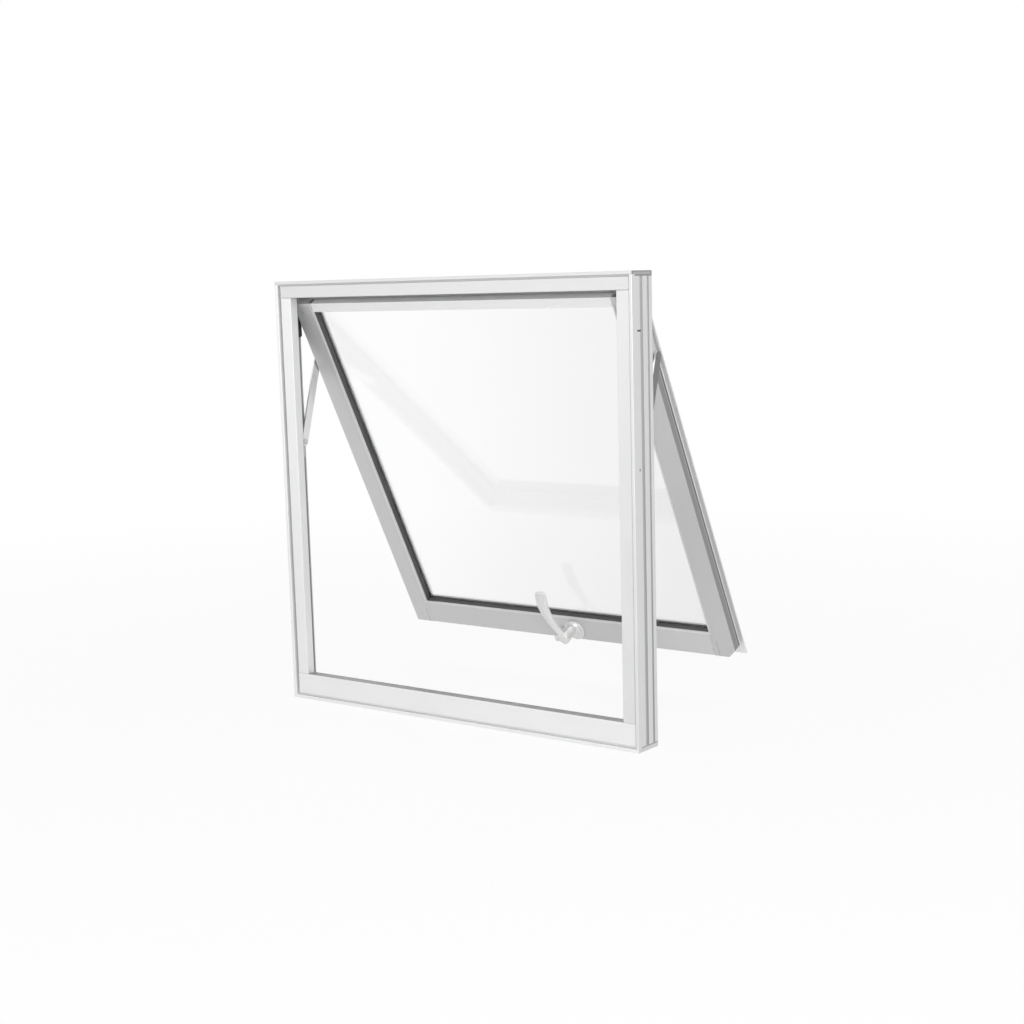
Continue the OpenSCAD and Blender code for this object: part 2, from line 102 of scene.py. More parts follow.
def tube(grid):
    """A grid of rings, closed round. Each end is closed by a fan of triangles to the mean of its ring."""
    rows, columns, _ = grid.shape
    points = np.vstack([grid.reshape(-1, 3), grid[0].mean(axis=0), grid[-1].mean(axis=0)])
    first_middle, last_middle = rows * columns, rows * columns + 1
    first_ring = np.arange(columns)
    last_ring = (rows - 1) * columns + first_ring
    faces = grid_faces(rows, columns, True).tolist()
    faces += np.stack([np.roll(first_ring, -1), first_ring, np.full(columns, first_middle)], axis=-1).tolist()
    faces += np.stack([last_ring, np.roll(last_ring, -1), np.full(columns, last_middle)], axis=-1).tolist()
    return points, faces


def lathe(profile, sides=96):
    """Turns a profile of (radius, height) points round the Z axis: x and y are the radius times the
    cosine and the sine of the angle, z is the height. The profile runs upwards on its outside."""
    profile = np.asarray(profile, float)
    angle = np.linspace(0.0, 2.0 * np.pi, sides, endpoint=False)
    x, y = profile[:, :1] * np.cos(angle), profile[:, :1] * np.sin(angle)
    return tube(np.stack([x, y, np.repeat(profile[:, 1:], sides, axis=1)], axis=-1))


print("a unit drum has", len(lathe([[1.0, 0.0], [1.0, 1.0]])[0]), "points")

# %% [markdown]
# ## From arrays to a piece
# A piece may be several closed shells that share one mesh, as a casting with its screw heads does.
# The helper joins them, carries them to their place with one matrix, and leaves the object itself
# at the origin. A face is shaded smooth unless it meets its neighbour at a clear edge.

# %% Piece helper
edge_angle = math.radians(35.0)
print("edges stay sharp above", round(math.degrees(edge_angle)), "degrees")


def merge(parts):
    """Joins (points, faces) parts into one: each part's face numbers are raised by the points before it."""
    points, faces, start = [], [], 0
    for part_points, part_faces in parts:
        points.append(part_points)
        faces += [[corner + start for corner in face] for face in part_faces]
        start += len(part_points)
    return np.concatenate(points), faces


def add_piece(name, parts, place, body, finish):
    """Makes a mesh from parts drawn in a piece's own axes and puts it in place with a 4x4 matrix: each
    point is turned by the matrix's first three columns and moved by its last. Faces that meet at
    more than the edge angle keep a sharp edge."""
    points, faces = merge(parts)
    turn = np.array(place, float)
    points = points @ turn[:3, :3].T + turn[:3, 3]
    mesh = bpy.data.meshes.new(name)
    mesh.from_pydata(points.tolist(), [], faces)
    mesh.validate()
    mesh.polygons.foreach_set("use_smooth", np.ones(len(mesh.polygons), bool))
    mesh.set_sharp_from_angle(angle=edge_angle)
    mesh.materials.append(finish)
    piece = bpy.data.objects.new(name, mesh)
    bpy.context.scene.collection.objects.link(piece)
    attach(piece, body)
    print(name, "points", len(points), "faces", len(mesh.polygons))
    return piece


# %% [markdown]
# ## Where things sit
# The sash is tilted, so pieces on it are easiest to draw in the sash's own axes: x along the rail,
# y up along the sash's face, and z out of that face into the room. One matrix carries such a
# drawing to its place. Its numbers repeat the named values of the CAD source: the stay arm turns
# about a fixed pin in the track and carries the sash at its other end, and the sash's upper pin
# slides in the track above.

# %% Sash axes
frame_height, half_width = 0.6, 0.3
side_room, top_room = 0.0124, 0.0125
open_angle = math.radians(26.5)
stay_length, stay_angle, stay_thick = 0.1272, math.radians(16.2), 0.0025
sash_height, face_y = 0.556, 0.0025
pin_depth, pin_below_top = 0.011, 0.0088
plate_thick, pin_play = 0.0012, 0.0003
web_thick, track_thick = 0.003, 0.0008

track_y = face_y + pin_depth
pin_gap = stay_length * math.sin(stay_angle) / math.sin(open_angle)
fixed_pin_z = frame_height - top_room - pin_below_top - stay_length - pin_gap
swing_pin_y = track_y + stay_length * math.sin(stay_angle)
swing_pin_z = fixed_pin_z + stay_length * math.cos(stay_angle)
shoe_z = swing_pin_z + pin_gap * math.cos(open_angle)
stay_front_x = half_width - side_room + plate_thick + pin_play
stay_back_x = stay_front_x + stay_thick
shoe_back_x = half_width - web_thick - track_thick - pin_play
swing = Matrix.Translation((0.0, track_y, shoe_z)) @ Matrix.Rotation(open_angle, 4, "X")


def on_sash(x, up):
    """Place on the sash's face: x from the middle, up from the sash's lower edge. The drawing's z axis
    points out of the face and its y axis up along it."""
    flat = Matrix.Translation((x, -pin_depth, pin_below_top - sash_height + up))
    return swing @ flat @ Matrix.Rotation(math.radians(90.0), 4, "X")


print("shoe height", round(shoe_z, 5), "fixed pin height", round(fixed_pin_z, 5))

# %% [markdown]
# ## A finish is a small machine
# A finish is a tree of nodes: places on the piece go in at one end, and colour, roughness and the
# lie of the surface come out at the other. Nearly every finish here starts from a noise pattern
# that is stretched to the size of a real feature, so I give the tree a few short words for that.

# %% Finish helper
SHARE_IN, NUMBERS_IN, COLOURS_IN = 0, (2, 3), (6, 7)
NUMBER_OUT, COLOUR_OUT = 0, 2


class Tree:
    """A node tree with short ways to add nodes. An input is a number, a colour or another node's output.
    A Mix node repeats the names of its sockets, so the values above say where each kind sits."""

    def __init__(self, owner):
        owner.use_nodes = True
        self.owner, self.nodes, self.links = owner, owner.node_tree.nodes, owner.node_tree.links

    def feed(self, socket, value):
        """Links another node's output to a socket, or sets the socket to a plain value."""
        if isinstance(value, bpy.types.NodeSocket):
            self.links.new(value, socket)
        else:
            socket.default_value = value

    def add(self, kind, inputs, **options):
        """Adds a node of a kind, sets its options, and feeds its inputs, given by name or by number."""
        node = self.nodes.new(kind)
        for option, choice in options.items():
            setattr(node, option, choice)
        for socket, value in inputs.items():
            self.feed(node.inputs[socket], value)
        return node

    def maths(self, operation, *values):
        """One sum, such as MULTIPLY_ADD, which is the first value times the second plus the third."""
        return self.add("ShaderNodeMath", dict(enumerate(values)), operation=operation).outputs[0]

    def here(self, output="Object"):
        """Object coordinates of the point that is shaded, or with "Normal" the way it faces."""
        return self.nodes.new("ShaderNodeTexCoord").outputs[output]

    def split(self, vector):
        """The x, y and z of a vector."""
        return self.add("ShaderNodeSeparateXYZ", {0: vector}).outputs

    def rescaled(self, value, span, result):
        """Maps a value from one (low, high) span onto another, and holds it at the ends."""
        reach = {"From Min": span[0], "From Max": span[1], "To Min": result[0], "To Max": result[1]}
        return self.add("ShaderNodeMapRange", {"Value": value, **reach}).outputs["Result"]

    def multiplied(self, share, first, second):
        """The first colour times the second, for a share; the first colour alone for the rest."""
        inputs = {SHARE_IN: share, COLOURS_IN[0]: first, COLOURS_IN[1]: second}
        node = self.add("ShaderNodeMix", inputs, data_type="RGBA", blend_type="MULTIPLY")
        return node.outputs[COLOUR_OUT]


class Finish(Tree):
    """A material's tree, with its main shader and the patterns that the finishes share."""

    noise_span = (0.3, 0.7)

    def __init__(self, name):
        super().__init__(bpy.data.materials.new(name))
        self.shader = self.nodes["Principled BSDF"]

    def noise(self, feature, detail, rough, turn=0.0):
        """A noise of about a half, with features of a given size along each axis, turned about X: Object
        coordinates are turned back and divided by the size, and the noise itself has a scale of one."""
        size = feature if isinstance(feature, tuple) else (feature,) * 3
        inputs = {"Vector": self.here(), "Rotation": (turn, 0.0, 0.0), "Scale": size}
        place = self.add("ShaderNodeMapping", inputs, vector_type="TEXTURE").outputs["Vector"]
        inputs = {"Vector": place, "Scale": 1.0, "Detail": detail, "Roughness": rough}
        return self.add("ShaderNodeTexNoise", inputs).outputs["Fac"]

    def average(self, first, second, share):
        """Mix of two values: share of the second, the rest of the first."""
        inputs = {SHARE_IN: share, NUMBERS_IN[0]: first, NUMBERS_IN[1]: second}
        return self.add("ShaderNodeMix", inputs, data_type="FLOAT").outputs[NUMBER_OUT]

    def tinted(self, value, dark, light):
        """Colour that runs from dark to light as the value crosses the span of a noise."""
        node = self.add("ShaderNodeValToRGB", {"Fac": value})
        for stop, position, colour in zip(node.color_ramp.elements, self.noise_span, (dark, light)):
            stop.position, stop.color = position, (*colour, 1.0)
        return node.outputs["Color"]

    def set(self, name, value):
        """Feeds one socket of the main shader."""
        self.feed(self.shader.inputs[name], value)

    def roughened(self, value, low, high):
        """Roughness that runs from low to high as the value crosses the span of a noise."""
        self.set("Roughness", self.rescaled(value, self.noise_span, (low, high)))

    def bumped(self, value, depth, strength):
        """Raises the surface by the value times depth in metres, for a share of strength."""
        inputs = {"Strength": strength, "Distance": depth, "Height": value}
        self.set("Normal", self.add("ShaderNodeBump", inputs).outputs["Normal"])


print("noise runs from", Finish.noise_span[0], "to", Finish.noise_span[1])

# %% [markdown]
# ## Regions of one bar
# One extrusion is not coloured the same all over. Most of the difference is painted light and
# shade: the cut ends, the floors of grooves, a key slot, a screw seat, the sill's top and the sash's
# sideways faces are painted darker where shade falls, and a return and a raised line are painted
# lighter. The sash's butt joints are dark lines of their own. Each region is a box on the bar, and
# inside it the colour is multiplied by a factor. A comparison node is one inside its span and nothing
# outside, so the product of a few of them is one only inside the box.

# %% Regions and their factors
def region(finish, limits):
    """One inside a region and nothing outside it. limits gives a (low, high) pair for "x", the distance
    from the middle plane, for "y", for "z", for "side", how squarely the face looks sideways, or for
    "depth", the depth behind the sash's face: y cos t + z sin t less its value on the face."""
    x, y, z = finish.split(finish.here())
    values = {"y": y, "z": z}
    if "x" in limits:
        values["x"] = finish.maths("ABSOLUTE", x)
    if "side" in limits:
        values["side"] = finish.maths("ABSOLUTE", finish.split(finish.here("Normal"))[0])
    if "depth" in limits:
        on_face = math.cos(open_angle) * track_y + math.sin(open_angle) * shoe_z - pin_depth
        raised = finish.maths("MULTIPLY_ADD", z, math.sin(open_angle), -on_face)
        values["depth"] = finish.maths("MULTIPLY_ADD", y, math.cos(open_angle), raised)
    found = 1.0
    for key, (low, high) in limits.items():
        within = finish.maths("COMPARE", values[key], (low + high) / 2.0, (high - low) / 2.0)
        found = finish.maths("MULTIPLY", found, within)
    return found


sideways = (0.7, 1.1)
groove_x = (half_width - 0.0025, half_width - 0.0006)
bar_end = {"x": (half_width - 0.0005, half_width + 0.01), "side": sideways}
joint_x, low_joint_z, high_joint_z = 0.261, (0.050, 0.0935), (0.5600, 0.60)

# Painted shade: the floors of the side grooves are darkened where shade falls in them.
groove_floor_painted_shade = [({"x": groove_x, "y": (-0.0055, 0.0025)}, 0.62),
                 ({"x": groove_x, "y": (0.011, 0.0165)}, 0.62)]
# Painted shade in the groove between the jamb's lip and its face.
trim_groove_painted_shade = [({"x": (0.2930, 0.2956), "y": (-0.0160, -0.0150)}, 0.45)]
# Painted shade of the key slot in the jamb's outer side.
key_slot_painted_shade = ({"x": (0.297, 0.2994), "y": (-0.0120, -0.0020), "z": (0.5262, 0.5290)}, 0.10)
# Painted shade of the seat round the screw in each jamb's outer side.
screw_seat_painted_shade = ({"x": (0.297, 0.2994), "y": (-0.0118, -0.0076), "z": (0.3554, 0.3596)}, 0.25)
# Painted light: the jamb's inner return is made a little lighter than its metal.
return_painted_light = [({"x": (0.2735, 0.2755), "side": sideways}, 1.05)]
# Painted shade on the cut ends of the head and sill: a band across the head's end is left lighter, and a dark
# line is painted across the sill's end.
head_end_painted_shade = [(bar_end, 0.42), ({**bar_end, "z": (0.5955, 0.5985), "y": (-0.019, 0.0195)}, 1.55)]
sill_end_painted_shade = [(bar_end, 0.80), ({**bar_end, "z": (0.0050, 0.0070)}, 0.5)]
# Painted shade along the sill's top.
sill_top_painted_shade = [({"y": (-0.0180, -0.0040), "z": (0.0356, 0.0370)}, 0.45)]
# Painted shade on the sash's sideways faces and its glazing rebate.
stile_side_painted_shade = [({"x": (0.2865, 0.31), "side": sideways, "depth": (-0.001, 0.0095)}, 0.48),
                ({"x": (0.2845, 0.2865), "side": sideways}, 0.33)]
butt_joints = [({"x": (joint_x - 0.0004, joint_x + 0.0004), "z": low_joint_z}, 0.55),
               ({"x": (joint_x - 0.0003, joint_x + 0.0003), "z": high_joint_z}, 0.62)]
# Painted highlight along the raised line beside the gasket.
ridge_painted_highlight = [({"depth": (-0.003, -0.0003)}, 1.15)]
jamb_tones = groove_floor_painted_shade + trim_groove_painted_shade + [key_slot_painted_shade, screw_seat_painted_shade] + return_painted_light
stile_tones = stile_side_painted_shade + butt_joints + ridge_painted_highlight
print("regions on a jamb", len(jamb_tones), "and on a stile", len(stile_tones))

# %% [markdown]
# ## Drawn and anodised aluminium
# The frame and sash bars are extruded: hot metal is pushed through a die, which leaves very fine
# lines along each bar, and anodising then dulls the shine. A picture of such metal could be
# painted, but a noise pattern that is stretched along the bar gives the same fine lines at any
# size. I use it three times: in the colour, the roughness and a shallow bump. A second, wide noise
# gives the faint clouds that handling leaves. The bars are one metal, but their shades are painted
# light and shade: the sash bars and the track are painted darker than the frame, the head and the
# right jamb darker than the other frame bars, and the top rail and the left stile lighter than the
# rest of the sash.

# %% Aluminium
line_width, line_length, cloud_size = 0.0005, 0.18, 0.05
line_size = {"across": (line_length, line_width, line_width), "up": (line_width, line_width, line_length)}
dark_shares, metal_share, satin = (0.955, 0.957, 0.962), 0.45, 0.42
line_depth, line_strength, cloud_share = 0.00002, 0.5, 0.45


def anodised(name, shade, run, tilt=0.0, tones=()):
    """Satin anodised extrusion. run is the axis along which the bar was drawn, and tilt turns it for
    the bars of the sash. Its colour runs from the shade times the dark shares to the shade itself.
    tones lists regions of painted shade, painted light and dark joints, each with its factor."""
    finish = Finish(name)
    lines = finish.noise(line_size[run], 3.0, 0.6, tilt)
    clouds = finish.noise(cloud_size, 3.0, 0.55)
    both = finish.average(lines, clouds, cloud_share)
    colour = finish.tinted(both, [shade * share for share in dark_shares], (shade,) * 3)
    for limits, factor in tones:
        colour = finish.multiplied(region(finish, limits), colour, (factor, factor, factor, 1.0))
    finish.set("Base Color", colour)
    finish.roughened(both, satin - 0.05, satin + 0.06)
    finish.set("Metallic", metal_share)
    finish.bumped(lines, line_depth, line_strength)
    return finish.owner


# Painted light and shade: each bar's shade is set darker or lighter to stand for how the lamps light it.
jamb_metal = anodised("jamb_metal", 0.79, "up", tones=jamb_tones)
right_jamb_painted_shade_metal = anodised("right_jamb_painted_shade_metal", 0.70, "up", tones=jamb_tones)
head_painted_shade_metal = anodised("head_painted_shade_metal", 0.665, "across", tones=head_end_painted_shade)
sill_metal = anodised("sill_metal", 0.81, "across", tones=sill_end_painted_shade + sill_top_painted_shade)
stile_metal = anodised("stile_metal", 0.555, "up", open_angle, stile_tones)
left_stile_painted_light_metal = anodised("left_stile_painted_light_metal", 0.60, "up", open_angle, stile_tones)
rail_metal = anodised("rail_metal", 0.61, "across", open_angle, ridge_painted_highlight)
top_rail_painted_light_metal = anodised("top_rail_painted_light_metal", 0.80, "across", open_angle)
bead_metal = anodised("bead_metal", 0.82, "up", open_angle)
track_painted_shade_metal = anodised("track_painted_shade_metal", 0.42, "up")
print("aluminium finishes", len(bpy.data.materials))

# %% [markdown]
# ## Glass
# Float glass is clear, so it transmits light. In the photograph the pane darkens what shows behind
# it a little towards its lower right corner. This darkening is a sloping plane of clearness worked
# out from the place on the pane, and a faint smudge pattern breaks it up.

# %% Glass
def float_glass():
    """Clear glass that is clearer towards the upper left: clearness = 0.912 - 0.26 x + 0.1 z, no more
    than 0.99, times a smudge pattern. The smudges also change its roughness a little."""
    finish = Finish("float_glass")
    middle_clearness, by_height, by_side, most = 0.912, 0.1, -0.26, 0.99
    smudge = finish.noise(0.09, 4.0, 0.6)
    x, _, z = finish.split(finish.here())
    level = finish.maths("MULTIPLY_ADD", z, by_height, middle_clearness)
    clear = finish.maths("MINIMUM", finish.maths("MULTIPLY_ADD", x, by_side, level), most)
    grey = finish.add("ShaderNodeCombineXYZ", {0: clear, 1: clear, 2: clear}).outputs[0]
    smudged = finish.tinted(smudge, (0.988, 0.992, 0.990), (0.998, 1.0, 0.999))
    finish.set("Base Color", finish.multiplied(1.0, grey, smudged))
    finish.roughened(smudge, 0.0, 0.02)
    finish.set("Specular IOR Level", 0.02)
    finish.set("IOR", 1.5)
    finish.set("Transmission Weight", 1.0)
    return finish.owner


glass_finish = float_glass()
print("made", glass_finish.name)

# %% [markdown]
# ## Rubber, steel, nylon and powder coat
# The glazing rubber is nearly black and matt, with a fine grain, and the weather seals are greyer.
# The stay arms are brushed stainless steel, whose brush lines run along the arm. The shoes are
# moulded nylon. The handle is cast and powder coated, and a baked powder coat has a soft
# orange-peel skin.

# %% Rubber and steel
def rubber(name, shade, rough):
    """Matt rubber with a fine moulded grain of about 0.4 mm and wide patches of dust. Its colour runs
    from 0.8 to 1.3 times its shade."""
    finish = Finish(name)
    grain = finish.noise(0.0004, 2.0, 0.5)
    dust = finish.noise(0.03, 4.0, 0.6)
    both = finish.average(grain, dust, 0.6)
    finish.set("Base Color", finish.tinted(both, (shade * 0.8,) * 3, (shade * 1.3,) * 3))
    finish.roughened(both, rough - 0.08, rough + 0.08)
    finish.bumped(grain, 0.00005, 0.5)
    return finish.owner


def brushed_steel(name, shade, lean, tones=()):
    """Stainless steel with brush lines 0.3 mm wide and 30 mm long, which lean by an angle about the X
    axis. Its colour runs from 0.9 of its shade to the shade. tones lists regions of painted shade,
    each with its factor."""
    finish = Finish(name)
    lines = finish.noise((0.0003, 0.0003, 0.03), 3.0, 0.6, lean)
    colour = finish.tinted(lines, (shade * 0.9,) * 3, (shade,) * 3)
    for limits, factor in tones:
        colour = finish.multiplied(region(finish, limits), colour, (factor, factor, factor, 1.0))
    finish.set("Base Color", colour)
    finish.roughened(lines, 0.3, 0.42)
    finish.set("Metallic", 0.75)
    finish.bumped(lines, line_depth, line_strength)
    return finish.owner


# Painted shade on the stay arm's outer side.
stay_side_painted_shade = [({"x": (0.2910, 0.2930), "side": sideways}, 0.25)]
gasket_rubber = rubber("gasket_rubber", 0.07, 0.6)
seal_rubber = rubber("seal_rubber", 0.3, 0.7)
arm_steel = brushed_steel("arm_steel", 0.86, -stay_angle, stay_side_painted_shade)
plate_steel = brushed_steel("plate_steel", 0.62, open_angle)
bracket_steel = brushed_steel("bracket_steel", 0.6, 0.0)
# Painted shade: the swing pins' rivet heads are a dark copy of the stays' steel.
rivet_painted_shade_steel = brushed_steel("rivet_painted_shade_steel", 0.22, open_angle)
print("finishes so far", len(bpy.data.materials))

# %% Nylon and powder coat
def moulded_nylon():
    """Black nylon with a soft moulded sheen and a skin of about 1.2 mm."""
    finish = Finish("moulded_nylon")
    skin = finish.noise(0.0012, 3.0, 0.5)
    finish.set("Base Color", finish.tinted(skin, (0.012, 0.012, 0.013), (0.02, 0.02, 0.021)))
    finish.roughened(skin, 0.42, 0.55)
    finish.bumped(skin, 0.00005, 0.4)
    return finish.owner


def powder_coat():
    """Light grey powder coat with an orange-peel skin of about 1.4 mm."""
    finish = Finish("powder_coat")
    peel = finish.noise(0.0014, 1.0, 0.4)
    clouds = finish.noise(0.02, 2.0, 0.5)
    finish.set("Base Color", finish.tinted(clouds, (0.74, 0.74, 0.735), (0.78, 0.78, 0.775)))
    finish.roughened(peel, 0.27, 0.34)
    finish.set("Metallic", 0.3)
    finish.bumped(peel, 0.00006, 0.5)
    return finish.owner


nylon = moulded_nylon()
handle_coat = powder_coat()
print("finishes", len(bpy.data.materials))

# %% [markdown]
# ## Finishes onto the CAD pieces
# Each CAD piece gets the finish of the real bar, seal or fitting. The aluminium finishes differ in
# their shade, which is painted light and shade, in the direction of the drawing lines, and in their
# regions of painted shade, painted light and dark joints.

# %% Assign finishes
finish_of = {
    "left_jamb": jamb_metal, "right_jamb": right_jamb_painted_shade_metal, "head": head_painted_shade_metal, "sill": sill_metal,
    "left_track": track_painted_shade_metal, "right_track": track_painted_shade_metal,
    "left_arm_bracket": bracket_steel, "right_arm_bracket": bracket_steel,
    "head_seal": seal_rubber, "sill_seal": seal_rubber,
    "left_jamb_seal": seal_rubber, "right_jamb_seal": seal_rubber,
    "left_stay_arm": arm_steel, "right_stay_arm": arm_steel,
    "sash_top_rail": top_rail_painted_light_metal, "sash_bottom_rail": rail_metal,
    "sash_left_stile": left_stile_painted_light_metal, "sash_right_stile": stile_metal,
    "top_bead": rail_metal, "bottom_bead": rail_metal, "left_bead": bead_metal, "right_bead": bead_metal,
    "glass_pane": glass_finish,
    "left_pivot_plate": plate_steel, "right_pivot_plate": plate_steel,
    "handle_base": handle_coat, "rail_screw": bracket_steel, "handle_lever": handle_coat,
    "left_shoe": nylon, "right_shoe": nylon,
}
finish_of.update({name: gasket_rubber for name in nodes if name.endswith("gasket")})
for name, node in nodes.items():
    node.data.materials.clear()
    node.data.materials.append(finish_of[name])
print("dressed", len(nodes), "CAD pieces")

# %% [markdown]
# ## The lever handle
# The handle is a zinc casting: a lever grows out of a round hub, and a short tongue behind the hub
# grips the sill when the window is shut. A casting is drawn best as a loft, a row of sections along
# a line. I keep the line and the widths of the CAD piece, let numpy round them off between their
# stations, and give each section a raised middle so that the lever shows two facets. The hub, the
# stem, the spindle and the tongue are further closed shells of the same piece.

# %% The lever's loft
MM = 0.001
lever_length, lever_sweep, lever_start = 80.0, 19.0, -0.02
lever_lift, lever_thinning, lever_ridge, lever_skew = 24.5, 0.92, 1.1, 0.10
station_shares = [lever_start, 0.12, 0.21, 0.33, 0.48, 0.66, 0.84, 0.93, 0.98, 1.0]
sweep_shares = [0, -0.3, -0.5, -0.7, -0.9, -1, -0.98, -0.95, -0.93, -0.92]
half_widths = [6.8, 6.6, 6.6, 7.2, 8.6, 9.4, 9.6, 9.4, 8.8, 7.4]
rises = [0, 0.3, 0.6, 1, 1.4, 1.4, 0.9, 0.5, 0.4, 0.6]
thicknesses = [6, 6, 6, 6, 6, 6, 5.6, 5, 4.2, 3.4]


def eased(values, t, reach=0.035, steps=9):
    """Values along t: straight lines between the stations, then averaged over a short reach to each
    side, which turns every bend into a soft curve."""
    offsets = np.linspace(-reach, reach, steps)
    return np.mean([np.interp(t + offset, station_shares, values) for offset in offsets], axis=0)


def lever_loft(rows=110, sides=48, end_round=2.2, end_share=0.55):
    """Rings across the lever, in mm. Across is the half width times the signed cosine to the power
    0.62. Through is half the thickness times the signed sine to the power 0.8, with a ridge that
    rises by 1.1 times (1 - share of the half width) on the front. Over the last 2.2 mm both ends
    shrink to 0.55 by a quarter circle. Along is t times the length, plus 0.10 of the distance from
    the lever's line times t to the power 6, which cuts the lever's end at a slant."""
    t = np.linspace(lever_start, 1.0, rows)
    side, half = eased(sweep_shares, t) * lever_sweep, eased(half_widths, t)
    rise, thick = eased(rises, t) + lever_lift, eased(thicknesses, t) * lever_thinning
    from_end = np.minimum(1.0 - t, t - lever_start) * lever_length
    bend = np.sqrt(1.0 - (1.0 - np.clip(from_end / end_round, 0.0, 1.0)) ** 2)
    shrink = (bend * (1.0 - end_share) + end_share)[:, None]
    angle = np.linspace(0.0, 2.0 * np.pi, sides, endpoint=False)[None, :]
    across = np.sign(np.cos(angle)) * np.abs(np.cos(angle)) ** 0.62
    through = np.sign(np.sin(angle)) * np.abs(np.sin(angle)) ** 0.8
    ridge = np.where(through > 0.0, lever_ridge * (1.0 - np.abs(across)), 0.0)
    half_thick = thick[:, None] / 2.0
    from_line = half[:, None] * shrink * across
    x = side[:, None] + from_line
    z = rise[:, None] + half_thick + shrink * (half_thick * through + ridge)
    y = t[:, None] * lever_length + lever_skew * from_line * np.clip(t[:, None], 0.0, 1.0) ** 6
    return np.stack([x, y, z], axis=-1)[:, ::-1, :] * MM


lever_rings = lever_loft()
print("lever rings", lever_rings.shape[:2], "reach in mm", round(float(np.ptp(lever_rings[..., 1])) / MM, 1))

# %% Hub, stem, spindle and tongue
def slab(outline, low, high, edge):
    """A flat piece from a closed outline: rings at rising heights, each drawn in towards the middle of
    the outline near the two faces by a quarter circle of the edge radius."""
    middle_point = outline.mean(axis=0)
    out = outline - middle_point
    size = np.linalg.norm(out, axis=1, keepdims=True)
    turn = np.linspace(0.0, np.pi / 2.0, 6)
    inward = np.concatenate([edge * (1.0 - np.sin(turn)), edge * (1.0 - np.cos(turn))])
    height = np.concatenate([low + edge * (1.0 - np.cos(turn)), high - edge * (1.0 - np.sin(turn))])
    rings = middle_point + out[None] * (1.0 - inward[:, None, None] / size[None])
    heights = np.broadcast_to(height[:, None, None], (len(height), len(outline), 1))
    return np.concatenate([rings, heights], axis=-1)


def capsule(length, radius, turn, count=48):
    """Outline of a round-ended bar from the origin outwards: half circles about both ends, turned."""
    angle = np.linspace(-np.pi / 2.0, 1.5 * np.pi, count, endpoint=False)
    x = radius * np.cos(angle) + np.where(np.cos(angle) >= 0.0, length, 0.0)
    y = radius * np.sin(angle)
    turned = [x * math.cos(turn) - y * math.sin(turn), x * math.sin(turn) + y * math.cos(turn)]
    return np.stack(turned, axis=-1)


handle_x, handle_up = 0.0205, 0.022
handle_place = on_sash(handle_x, handle_up)
hub = lathe(np.array([[6.9, 22.0], [8.0, 22.3], [8.5, 23.1], [8.6, 24.4], [8.6, 29.8], [8.35, 31.0],
                      [7.6, 31.8], [6.4, 32.2], [4.0, 32.5], [1.0, 32.6]]) * MM)
stem = lathe(np.array([[7.2, 7.3], [7.7, 7.7], [7.8, 8.6], [7.6, 12.0], [7.3, 16.0], [7.4, 20.0],
                       [7.6, 23.0]]) * MM)
spindle = lathe(np.array([[3.4, -1.4], [3.4, 7.6]]) * MM, 32)
tongue_length, tongue_radius, tongue_turn = 17.0, 5.0, math.radians(197.0)
tongue_outline = capsule(tongue_length, tongue_radius, tongue_turn) * MM
tongue = tube(slab(tongue_outline, 22.0 * MM, 26.0 * MM, 0.8 * MM))
lever_parts = [tube(lever_rings), hub, stem, spindle, tongue]
lever = add_piece("cast_lever", lever_parts, handle_place, "handle", handle_coat)
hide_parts("handle_lever")

# %% [markdown]
# ## The round base and its boss
# The base is a turned cover plate, dished inside its rim so that the rim catches the light, and the
# boss is the bearing of the stem. Both are round, so a lathe profile describes them completely.

# %% Base and boss
base_drop = 5.0 * MM
base_points, base_faces = lathe(np.array([[16.3, 0.0], [16.5, 0.3], [16.5, 1.5], [16.3, 2.2], [15.8, 2.75],
                                          [15.1, 3.0], [14.4, 2.9], [13.8, 2.6], [12.6, 2.45],
                                          [4.0, 2.45]]) * MM)
rosette = (base_points - np.array([0.0, base_drop, 0.0]), base_faces)
boss = lathe(np.array([[11.4, 0.4], [11.5, 2.6], [11.2, 3.3], [10.4, 4.4], [9.7, 5.4], [9.2, 6.4],
                       [8.9, 6.85], [8.4, 7.0], [4.0, 7.0]]) * MM)
base = add_piece("turned_base", [rosette, boss], handle_place, "sash", handle_coat)
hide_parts("handle_base")

# %% [markdown]
# ## Screws and rivets
# Each screw has a shallow dome and a cross recess. A height drawn over rings and angles is enough
# for that: a dome by the square of the radius, less a cross whose arms fade out. The pins of the
# stays are riveted, and a rivet's head is a low dome with a small dimple from the tool.

# %% Screw and rivet heads
def screw_head(radius, height, arm=0.62, width=0.17, sides=96, rings=30):
    """Height over rings and angles: height x (0.35 + 0.65 x (1 - share of the radius squared)), less
    0.75 of the height inside a cross. The cross's arms reach out to one share of the radius and are
    half as wide as another, and they fade out at their edges."""
    share = np.linspace(1.0, 0.02, rings)[:, None]
    angle = np.linspace(0.0, 2.0 * np.pi, sides, endpoint=False)[None, :]
    x, y = share * np.cos(angle), share * np.sin(angle)
    inner, outer = np.minimum(np.abs(x), np.abs(y)), np.maximum(np.abs(x), np.abs(y))
    cross = np.clip((width - inner) / 0.05, 0.0, 1.0) * np.clip((arm - outer) / 0.12, 0.0, 1.0)
    z = height * (0.35 + 0.65 * (1.0 - share ** 2)) - cross * height * 0.75
    z = np.concatenate([np.zeros((1, sides)), z])
    x, y = np.concatenate([x[:1], x]) * radius, np.concatenate([y[:1], y]) * radius
    return tube(np.stack([x, y, z], axis=-1))


